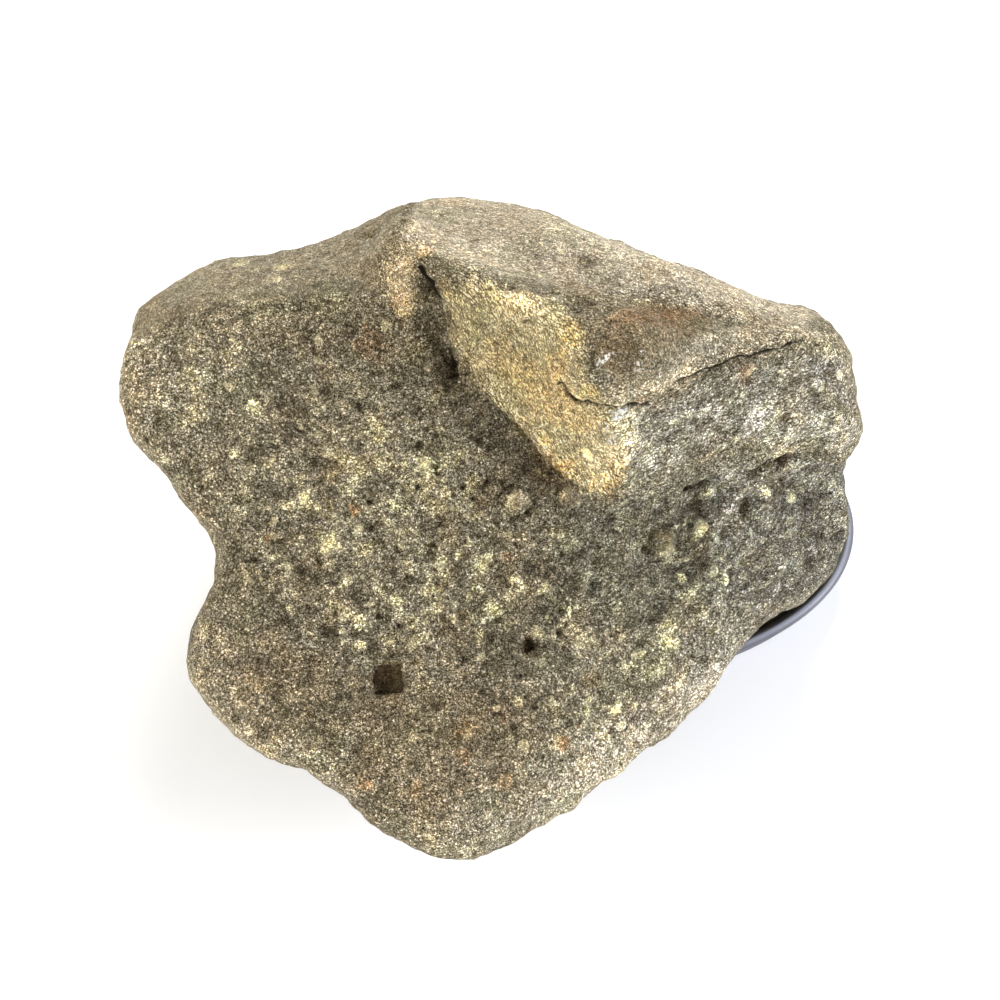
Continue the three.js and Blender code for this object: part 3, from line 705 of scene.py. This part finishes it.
class Nodes:
    """Short ways to add the nodes of one material."""

    def __init__(self, name):
        self.material = bpy.data.materials.new(name)
        self.material.use_nodes = True
        self.tree = self.material.node_tree

    def feed(self, socket, value):
        if isinstance(value, bpy.types.NodeSocket):
            self.tree.links.new(value, socket)
        else:
            socket.default_value = value

    def add(self, kind, output, inputs, **settings):
        node = self.tree.nodes.new(kind)
        for name, value in settings.items():
            setattr(node, name, value)
        for name, value in inputs.items():
            self.feed(node.inputs[name], value)
        return node.outputs[output]

    def surface(self, inputs):
        """The material, its surface's shader fed with the given values."""
        for name, value in inputs.items():
            self.feed(self.tree.nodes["Principled BSDF"].inputs[name], value)
        return self.material

    def vector(self, operation, a, b=(0.0, 0.0, 0.0), output="Vector"):
        return self.add("ShaderNodeVectorMath", output, {0: a, 1: b}, operation=operation)

    def scaled(self, vector, factor):
        inputs = {0: vector, "Scale": factor}
        return self.add("ShaderNodeVectorMath", "Vector", inputs, operation="SCALE")

    def place(self):
        """Where a point is, in millimetres."""
        return self.scaled(self.add("ShaderNodeTexCoord", "Object", {}), 1 / MM)

    def noise(self, place, size, detail=2.0, roughness=0.5, output="Fac"):
        inputs = {"Vector": place, "Scale": 1 / size, "Detail": detail, "Roughness": roughness}
        return self.add("ShaderNodeTexNoise", output, inputs)

    def shift(self, place, amount, size):
        """The place, moved about by noise."""
        push = self.vector("SUBTRACT", self.noise(place, size, output="Color"), (0.5, 0.5, 0.5))
        return self.vector("ADD", place, self.scaled(push, amount))

    def pieces(self, place, size, bend, bend_size):
        """Pieces about size millimetres apart, their outlines bent by noise: how far a point is from its
        piece's middle, in sizes, and three random values of the piece."""
        cells = self.tree.nodes.new("ShaderNodeTexVoronoi")
        self.feed(cells.inputs["Vector"], self.shift(place, bend, bend_size))
        self.feed(cells.inputs["Scale"], 1 / size)
        values = self.tree.nodes.new("ShaderNodeSeparateColor")
        self.feed(values.inputs["Color"], cells.outputs["Color"])
        return cells.outputs["Distance"], *values.outputs

    def math(self, operation, a, b=0.0, c=0.0, clamp=False):
        inputs = {0: a, 1: b, 2: c}
        return self.add("ShaderNodeMath", "Value", inputs, operation=operation, use_clamp=clamp)

    def span(self, value, low, high, to_low=0.0, to_high=1.0):
        """The value, moved from one range to another and kept in it."""
        inputs = {"Value": value, "From Min": low, "From Max": high, "To Min": to_low, "To Max": to_high}
        return self.add("ShaderNodeMapRange", "Result", inputs)

    def mix(self, share, a, b, blend="MIX", kind="RGBA"):
        first, second, output = MIX_SOCKETS[kind]
        inputs = {"Factor": share, first: a, second: b}
        return self.add("ShaderNodeMix", output, inputs, data_type=kind, blend_type=blend)

    def tinted(self, share, colour, tint):
        """The colour, multiplied by a tint where share says so."""
        return self.mix(share, colour, self.mix(1.0, colour, tint, blend="MULTIPLY"))

    def ramp(self, value, stops):
        node = self.tree.nodes.new("ShaderNodeValToRGB")
        elements = node.color_ramp.elements
        while len(elements) < len(stops):
            elements.new(0.5)
        for element, (position, colour) in zip(elements, stops):
            element.position = position
            element.color = colour
        self.feed(node.inputs["Fac"], value)
        return node.outputs["Color"]

    def attribute(self, name):
        return self.add("ShaderNodeAttribute", "Fac", {}, attribute_name=name)

    def by_field(self, name, outside, inside):
        """A value that changes where a field sets in."""
        return self.span(self.attribute(name), 0.0, 1.0, outside, inside)

    def inside(self, name, ragged, slope=1.0):
        """A field's mask, from 0 to 1, with a ragged edge."""
        edge = self.math("ADD", self.attribute(name), ragged)
        return self.math("MULTIPLY", edge, slope, clamp=True)

    def centred(self, value, height):
        """A noise of 0 to 1, moved to stand on both sides of nothing and scaled."""
        return self.math("MULTIPLY_ADD", value, height, -height / 2)

    def strewn(self, distance, chance, scarce, largest, ragged):
        """Where strewn pieces are: none is in a cell whose random value is under scarce."""
        radius = self.span(chance, scarce, 1.0, 0.0, largest)
        edge = self.math("ADD", self.math("SUBTRACT", radius, distance), ragged)
        return self.math("MULTIPLY", edge, PIECE_EDGE, clamp=True)

    def streaks(self, place, direction, stretch):
        """The place, changed so that patterns are longer along a direction and narrower across it."""
        along = self.vector("DOT_PRODUCT", place, direction, output="Value")
        push = self.scaled(direction, self.math("MULTIPLY", along, 1 / stretch - 1))
        return self.scaled(self.vector("ADD", place, push), math.sqrt(stretch))

    def bump(self, height, strength, distance):
        inputs = {"Height": height, "Strength": strength, "Distance": distance * MM}
        return self.add("ShaderNodeBump", "Normal", inputs)


def srgb(red, green, blue):
    """A colour given as on a screen, 0 to 255, for a node."""

    def linear(value):
        value /= 255
        return value / 12.92 if value <= 0.04045 else ((value + 0.055) / 1.055) ** 2.4

    return (linear(red), linear(green), linear(blue), 1.0)


def tint(red, green, blue):
    """How much a tint lightens or darkens red, green and blue, for a node."""
    return (red, green, blue, 1.0)


# The rock's own colour, from its dark to its pale parts.
ROCK_STOPS = [
    (0.26, srgb(67, 62, 49)),
    (0.42, srgb(112, 103, 83)),
    (0.54, srgb(142, 132, 108)),
    (0.66, srgb(187, 178, 140)),
    (0.8, srgb(225, 216, 171)),
]
# How much lighter or darker than the rock its grit is, and each of its larger grains.
GRIT_STOPS = [
    (0.39, tint(0.06, 0.05, 0.025)),
    (0.44, tint(0.33, 0.305, 0.215)),
    (0.49, tint(0.86, 0.85, 0.8)),
    (0.54, tint(1.5, 1.51, 1.57)),
    (0.592, tint(3.1, 3.22, 3.55)),
]
GRAIN_STOPS = [
    (0.0, tint(0.48, 0.44, 0.34)),
    (0.25, tint(0.86, 0.85, 0.81)),
    (0.7, tint(1.05, 1.05, 1.06)),
    (1.0, tint(1.7, 1.73, 1.83)),
]
# How much lighter a grain's middle is than the gaps between grains.
GAP_STOPS = [
    (0.3, tint(1.47, 1.5, 1.57)),
    (0.64, tint(0.63, 0.605, 0.54)),
]
# The casts that wander over the rock: greenish, none, and brown.
CAST_STOPS = [
    (0.34, tint(0.965, 0.99, 0.92)),
    (0.5, tint(1.0, 1.0, 1.0)),
    (0.66, tint(1.05, 1.0, 0.92)),
]
# The pieces of pale rock caught in it, from grey to cream.
CAUGHT_STOPS = [
    (0.0, srgb(166, 156, 126)),
    (0.5, srgb(203, 191, 149)),
    (1.0, srgb(230, 218, 177)),
]
# painted shade of holes and cracks
HOLE_SHADE_COLOUR = srgb(50, 42, 29)
# painted shade with some dirt, and painted light with some wear
SHADE_AND_DIRT = tint(0.46, 0.4, 0.3)
LIGHT_AND_WEAR = tint(1.7, 1.65, 1.55)
CREAM_COLOUR = srgb(214, 202, 156)
CHALK_COLOUR = srgb(250, 248, 240)

# The tints of regions and spots, in the order in which they are laid on.
TINTS = {
    "ochre": tint(2.38, 2.3, 2.0),
    "orange": tint(1.25, 1.05, 0.82),
    "pink": tint(2.55, 2.35, 2.15),
    "grey": tint(2.3, 2.55, 3.25),
    "gold": tint(1.45, 1.3, 1.0),
    "pale": tint(1.6, 1.57, 1.42),
    "shade": tint(0.44, 0.42, 0.4),
    "brown": tint(0.78, 0.66, 0.53),
    # cooler and darker; under the ledge it is painted shade
    "cool": tint(0.8, 0.84, 0.9),
    "violet": tint(1.0, 1.05, 1.25),
    # paler rock together with painted light on faces turned to the lamps, cooler towards the right
    "light": tint(2.35, 2.38, 2.65),
    "rust": tint(1.25, 0.88, 0.66),
    "green": tint(0.8, 0.84, 0.8),
    # dark patches, with painted shade in pits, recesses and under overhangs and a pebble's painted shadow
    "dark": tint(0.42, 0.36, 0.28),
}
# What regions and spots mark besides tints.
OTHER_FIELDS = ["cream", "chalk", "smooth", "patchy"]

# Noises in the rock: the distance between their lumps, their detail and their roughness.
CLUSTERS = (6.5, 4.0, 0.6)
CLOUDS = (32.0, 2.0, 0.5)
CASTS = (13.0, 4.0, 0.5)
WEAR = (3.2, 4.0, 0.6)
FINE_LUMPS = (1.9, 2.0, 0.6)
GRIT = (0.4, 2.0, 0.85)

# Pieces: the distance between them, and how far and over what distance their outlines are bent.
CAUGHT = (4.4, 3.2, 1.6)
FLECKS = (2.3, 1.4, 1.0)
SPECKS = (1.1, 0.8, 0.7)
GRAINS = (0.9, 0.5, 0.6)

# Strewn pieces: the random value from which one is there, and the largest one's radius in their distance.
# holes are dark flecks of painted shade, with no depth of their own
HOLES = (0.72, 0.34)
CHIPS = (0.86, 0.34)
CHALK = (0.1, 0.95)
CAUGHT_RADIUS = 0.5
CAUGHT_STRENGTH = 0.72
FLECK_STRENGTH = 0.75
PIECE_EDGE = 9.0  # how sharply a strewn piece ends, per its distance
RAGGED_PIECES = 0.45  # how ragged the edges of pieces are
RAGGED_FIELDS = 1.1  # and those of tints

# How strongly clusters and clouds change the rock's tone, and cream lightens it.
CLUSTER_TONE = 0.61
CLOUD_TONE = 0.26
CREAM_TONE = 0.2
MIDDLE_TONE = 0.5
# How ragged cream is, and how steeply it and chalk set in.
CREAM_RAGGED = 2.4
CREAM_SLOPE = 1.5
CHALK_SLOPE = 1.6
# What each is outside a field and inside it: the strength of tone, of clusters and of grains, and the
# random value from which a piece is caught there.
SMOOTH_TONE = (1.0, 0.5)
PATCHY_CLUSTERS = (0.68, 1.35)
SMOOTH_GRAINS = (1.0, 0.55)
CAUGHT_GRAINS = (1.0, 0.6)
PATCHY_CAUGHT = (0.92, 0.52)

# Painted shade with some dirt and painted light with some wear: between which values of the fine lumps, or
# of a hollow's field, each of them sets in and how strong it gets.
LOW_SHADE_AND_DIRT = (0.42, 0.3, 0.0, 0.6)
HIGH_LIGHT_AND_WEAR = (0.58, 0.72, 0.0, 0.3)
HOLLOW_SHADE_AND_DIRT = (0.1, 1.0, 0.0, 0.7)
EDGE_LIGHT_AND_WEAR = (-0.1, -1.0, 0.0, 0.5)

LINE_EDGE = (0.6, 1.6, 1.0, 0.0)  # between which of its widths a line of painted shade fades out
STONE_ROUGHNESS = (0.35, 0.65, 0.95, 0.7)  # by the grit
STONE_SHINE = 0.2
BUMP_LUMPS = 1.35  # the height of the fine lumps, per the grit's
BUMP_PITS = (0.42, 0.3, 0.0, -0.65)  # how much deeper their lowest parts are
BUMP_HEIGHT = 1.0  # of the grit


def rock_colour(nodes, place, drawn, ragged, grit, lumps):
    """The bare rock: its cloudy body, grit and grains, caught pale pieces, painted shade and light, holes
    of painted shade and chips.
    """
    clusters = nodes.noise(drawn, *CLUSTERS)
    tone = nodes.centred(clusters, CLUSTER_TONE)
    tone = nodes.math("MULTIPLY", tone, nodes.by_field("patchy", *PATCHY_CLUSTERS))
    tone = nodes.math("ADD", tone, nodes.centred(nodes.noise(place, *CLOUDS), CLOUD_TONE))
    cream = nodes.inside("cream", nodes.centred(clusters, CREAM_RAGGED), CREAM_SLOPE)
    tone = nodes.math("MULTIPLY_ADD", cream, CREAM_TONE, tone)
    tone = nodes.math("MULTIPLY", tone, nodes.by_field("smooth", *SMOOTH_TONE))
    rock = nodes.ramp(nodes.math("ADD", tone, MIDDLE_TONE), ROCK_STOPS)
    rock = nodes.tinted(1.0, rock, nodes.ramp(nodes.noise(place, *CASTS), CAST_STOPS))

    far, chance, shade, _ = nodes.pieces(drawn, *CAUGHT)
    scarce = nodes.by_field("patchy", *PATCHY_CAUGHT)
    caught = nodes.strewn(far, chance, scarce, CAUGHT_RADIUS, ragged)
    pale = nodes.math("MULTIPLY", caught, CAUGHT_STRENGTH)
    rock = nodes.mix(pale, rock, nodes.ramp(shade, CAUGHT_STOPS))

    # painted shade in the low parts of the fine lumps and painted light on their tops, partly dirt and wear
    rock = nodes.tinted(nodes.span(lumps, *LOW_SHADE_AND_DIRT), rock, SHADE_AND_DIRT)
    rock = nodes.tinted(nodes.span(lumps, *HIGH_LIGHT_AND_WEAR), rock, LIGHT_AND_WEAR)
    grainy = nodes.by_field("smooth", *SMOOTH_GRAINS)
    grainy = nodes.math("MULTIPLY", grainy, nodes.span(caught, 0.0, 1.0, *CAUGHT_GRAINS))
    far, grain, _, _ = nodes.pieces(drawn, *GRAINS)
    for value, stops in [(grit, GRIT_STOPS), (grain, GRAIN_STOPS), (far, GAP_STOPS)]:
        rock = nodes.tinted(grainy, rock, nodes.ramp(value, stops))

    # holes: dark flecks of painted shade; chips: cream flecks
    far, chance, other, _ = nodes.pieces(drawn, *FLECKS)
    for value, strewn, colour in [(chance, HOLES, HOLE_SHADE_COLOUR), (other, CHIPS, CREAM_COLOUR)]:
        fleck = nodes.strewn(far, value, *strewn, ragged)
        rock = nodes.mix(nodes.math("MULTIPLY", fleck, FLECK_STRENGTH), rock, colour)
    return rock


def stone_material():
    nodes = Nodes("stone")
    place = nodes.place()
    drawn = place
    for name, (slant, stretch) in STREAKS.items():
        inside = nodes.math("GREATER_THAN", nodes.attribute(name), 0.0)
        streaks = nodes.streaks(place, face_direction(slant), stretch)
        drawn = nodes.mix(inside, drawn, streaks, kind="VECTOR")
    wear = nodes.noise(place, *WEAR)
    ragged = nodes.centred(wear, RAGGED_FIELDS)
    ragged_pieces = nodes.centred(wear, RAGGED_PIECES)
    grit = nodes.noise(drawn, *GRIT)
    lumps = nodes.noise(drawn, *FINE_LUMPS)

    colour = rock_colour(nodes, place, drawn, ragged_pieces, grit, lumps)
    for name, change in TINTS.items():
        colour = nodes.tinted(nodes.inside(name, ragged), colour, change)
    far, chance, _, _ = nodes.pieces(place, *SPECKS)
    chalk = nodes.strewn(far, chance, *CHALK, 0.0)
    chalk = nodes.math("MULTIPLY", chalk, nodes.inside("chalk", ragged_pieces, CHALK_SLOPE))
    colour = nodes.mix(chalk, colour, CHALK_COLOUR)
    # painted shade in hollows and painted light on raised edges, partly dirt and wear
    for name in HOLLOWS:
        hollow = nodes.attribute(name)
        colour = nodes.tinted(nodes.span(hollow, *HOLLOW_SHADE_AND_DIRT), colour, SHADE_AND_DIRT)
        colour = nodes.tinted(nodes.span(hollow, *EDGE_LIGHT_AND_WEAR), colour, LIGHT_AND_WEAR)
    # a line of painted shade along the crack, its gap, the slot and the crevice
    side = nodes.math("ABSOLUTE", nodes.math("ADD", nodes.attribute("line side"), ragged))
    line = nodes.math("MULTIPLY", nodes.span(side, *LINE_EDGE), nodes.attribute("line near"))
    colour = nodes.mix(line, colour, HOLE_SHADE_COLOUR)

    height = nodes.math("MULTIPLY_ADD", lumps, BUMP_LUMPS, grit)
    height = nodes.math("ADD", height, nodes.span(lumps, *BUMP_PITS))
    return nodes.surface(
        {
            "Base Color": colour,
            "Roughness": nodes.span(grit, *STONE_ROUGHNESS),
            "Specular IOR Level": STONE_SHINE,
            "Normal": nodes.bump(height, 1.0, BUMP_HEIGHT),
        }
    )


LACQUER_STOPS = [
    (0.3, srgb(74, 73, 79)),
    (0.7, srgb(94, 93, 101)),
]
# painted highlight along the top of the lip
LIP_HIGHLIGHT_COLOUR = srgb(152, 155, 166)
# painted shade on the inner side, which faces the stone
INNER_SHADE_COLOUR = srgb(46, 42, 45)
# Noises, as in the rock.
LACQUER_CLOUDS = (18.0, 5.0, 0.6)
DUST = (0.8, 3.0, 0.5)

LIP_HIGHLIGHT_REACH = 2.5  # how far down from its top the lip gets a painted highlight
LIP_HIGHLIGHT_FULL = 0.75  # and how far down it is most of all
LIP_HIGHLIGHT_STRENGTH = 0.75
UNEVEN_LIP_HIGHLIGHT = 0.8  # how uneven that is
# How much a surface gets the painted highlight, or counts as the inner side in painted shade, by how far it
# faces upwards or outwards.
HIGHLIGHT_UPWARDS = (0.2, 0.9)
HIGHLIGHT_OUTWARDS = (0.75, 0.35)
INNER_SHADE_OUTWARDS = (0.2, -0.1, 0.0, 0.95)

LACQUER_ROUGHNESS = (0.3, 0.7, 0.36, 0.5)  # by the dust
LACQUER_SHINE = 0.7
DUST_BUMP = 0.2  # how strongly the dust shows as relief
DUST_HEIGHT = 0.1


def lacquer_material():
    """Dark lacquer, dusty, with a painted highlight on the lip and painted shade on what faces the stone.
    """
    nodes = Nodes("lacquer")
    place = nodes.place()
    dust = nodes.noise(place, *DUST)
    colour = nodes.ramp(nodes.noise(place, *LACQUER_CLOUDS), LACQUER_STOPS)

    normal = nodes.add("ShaderNodeTexCoord", "Normal", {})
    outward = nodes.vector("NORMALIZE", nodes.vector("MULTIPLY", place, (1, 1, 0)))
    facing = nodes.vector("DOT_PRODUCT", normal, outward, output="Value")
    lip_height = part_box("stand")[1][2] / MM
    height = nodes.add("ShaderNodeSeparateXYZ", "Z", {"Vector": place})
    rise = nodes.add("ShaderNodeSeparateXYZ", "Z", {"Vector": normal})
    rise = nodes.math("ADD", rise, nodes.centred(dust, UNEVEN_LIP_HIGHLIGHT))
    # a painted highlight along the top of the lip, where it faces up and out
    lip_highlight = nodes.span(height, lip_height - LIP_HIGHLIGHT_REACH, lip_height - LIP_HIGHLIGHT_FULL, 0.0, LIP_HIGHLIGHT_STRENGTH)
    lip_highlight = nodes.math("MULTIPLY", lip_highlight, nodes.span(rise, *HIGHLIGHT_UPWARDS))
    lip_highlight = nodes.math("MULTIPLY", lip_highlight, nodes.span(facing, *HIGHLIGHT_OUTWARDS))
    colour = nodes.mix(lip_highlight, colour, LIP_HIGHLIGHT_COLOUR)
    # painted shade on the side that faces the stone
    colour = nodes.mix(nodes.span(facing, *INNER_SHADE_OUTWARDS), colour, INNER_SHADE_COLOUR)
    return nodes.surface(
        {
            "Base Color": colour,
            "Roughness": nodes.span(dust, *LACQUER_ROUGHNESS),
            "Specular IOR Level": LACQUER_SHINE,
            "Normal": nodes.bump(dust, DUST_BUMP, DUST_HEIGHT),
        }
    )


# ---- Studio ----

WHITE = (1.0, 1.0, 1.0, 1.0)
FLOOR_COLOUR = (0.9, 0.9, 0.9, 1.0)
FLOOR_ROUGHNESS = 0.9
FLOOR_SIZE = 20.0  # in metres
# The floor is lit through from below, as a photographer's table is: how strongly under the stone and
# far from it, and between which distances the glow grows.
FLOOR_GLOW = (0.25, 0.8)
FLOOR_GLOW_REACH = (400.0, 1400.0)
# The soft boxes: the direction that each stands in, its distance and its size in metres, its power and
# its colour.
SOFT_BOXES = {
    "back": ((0.1, 1.0, 0.7), 1.5, 0.7, 22.0, (1.0, 0.98, 0.95)),
    "left": ((-1.0, -0.3, 0.4), 1.5, 0.7, 15.0, (1.0, 0.97, 0.92)),
    "right": ((1.0, -0.3, 0.4), 1.5, 0.7, 22.0, (0.93, 0.98, 1.1)),
    "front": ((0.0, -1.0, 0.4), 1.5, 0.7, 7.0, (1.0, 1.0, 1.0)),
}
WORLD_STRENGTH = 0.32


def floor_material():
    nodes = Nodes("floor")
    distance = nodes.vector("LENGTH", nodes.place(), output="Value")
    return nodes.surface(
        {
            "Base Color": FLOOR_COLOUR,
            "Roughness": FLOOR_ROUGHNESS,
            "Emission Color": WHITE,
            "Emission Strength": nodes.span(distance, *FLOOR_GLOW_REACH, *FLOOR_GLOW),
        }
    )


def build_floor():
    half = FLOOR_SIZE / 2
    mesh = bpy.data.meshes.new("floor")
    corners = [(-half, -half, 0), (half, -half, 0), (half, half, 0), (-half, half, 0)]
    mesh.from_pydata(corners, [], [(0, 1, 2, 3)])
    mesh.materials.append(floor_material())
    return add_object("floor", mesh)


def add_lights():
    world = bpy.data.worlds.new("studio")
    world.use_nodes = True
    background = world.node_tree.nodes["Background"]
    background.inputs["Color"].default_value = WHITE
    background.inputs["Strength"].default_value = WORLD_STRENGTH
    bpy.context.scene.world = world
    for name, (direction, distance, size, power, colour) in SOFT_BOXES.items():
        light = bpy.data.lights.new(name, "AREA")
        light.shape = "DISK"
        light.size = size
        light.energy = power
        light.color = colour
        box = add_object(name, light)
        outward = Vector(direction).normalized()
        box.location = outward * distance
        box.rotation_mode = "QUATERNION"
        box.rotation_quaternion = outward.to_track_quat("Z", "Y")


def add_camera():
    data = bpy.data.cameras.new("camera")
    data.sensor_width = SENSOR_WIDTH
    data.lens = FOCAL_PIXELS * SENSOR_WIDTH / FRAME_PIXELS
    data.clip_start, data.clip_end = CAMERA_CLIP
    camera = add_object("camera", data)
    turn = Matrix((ACROSS_FACE, UP_FACE, OUT_OF_FACE)).transposed().to_4x4()
    camera.matrix_world = Matrix.Translation(CAMERA_PLACE * MM) @ turn
    bpy.context.scene.camera = camera


# ---- The scene ----

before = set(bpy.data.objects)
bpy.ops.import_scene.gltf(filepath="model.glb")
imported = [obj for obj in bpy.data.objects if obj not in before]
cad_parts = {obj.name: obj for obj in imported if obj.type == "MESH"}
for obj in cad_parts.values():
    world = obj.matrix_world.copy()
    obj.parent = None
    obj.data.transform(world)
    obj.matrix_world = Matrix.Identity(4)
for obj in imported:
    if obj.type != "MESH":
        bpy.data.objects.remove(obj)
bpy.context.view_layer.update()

bpy.context.scene.view_settings.view_transform = "Standard"
add_camera()
add_lights()

stone = build_stone()
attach(stone, "root")
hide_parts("stone")

stand = build_stand()
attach(stand, "root")
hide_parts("stand")

build_floor()
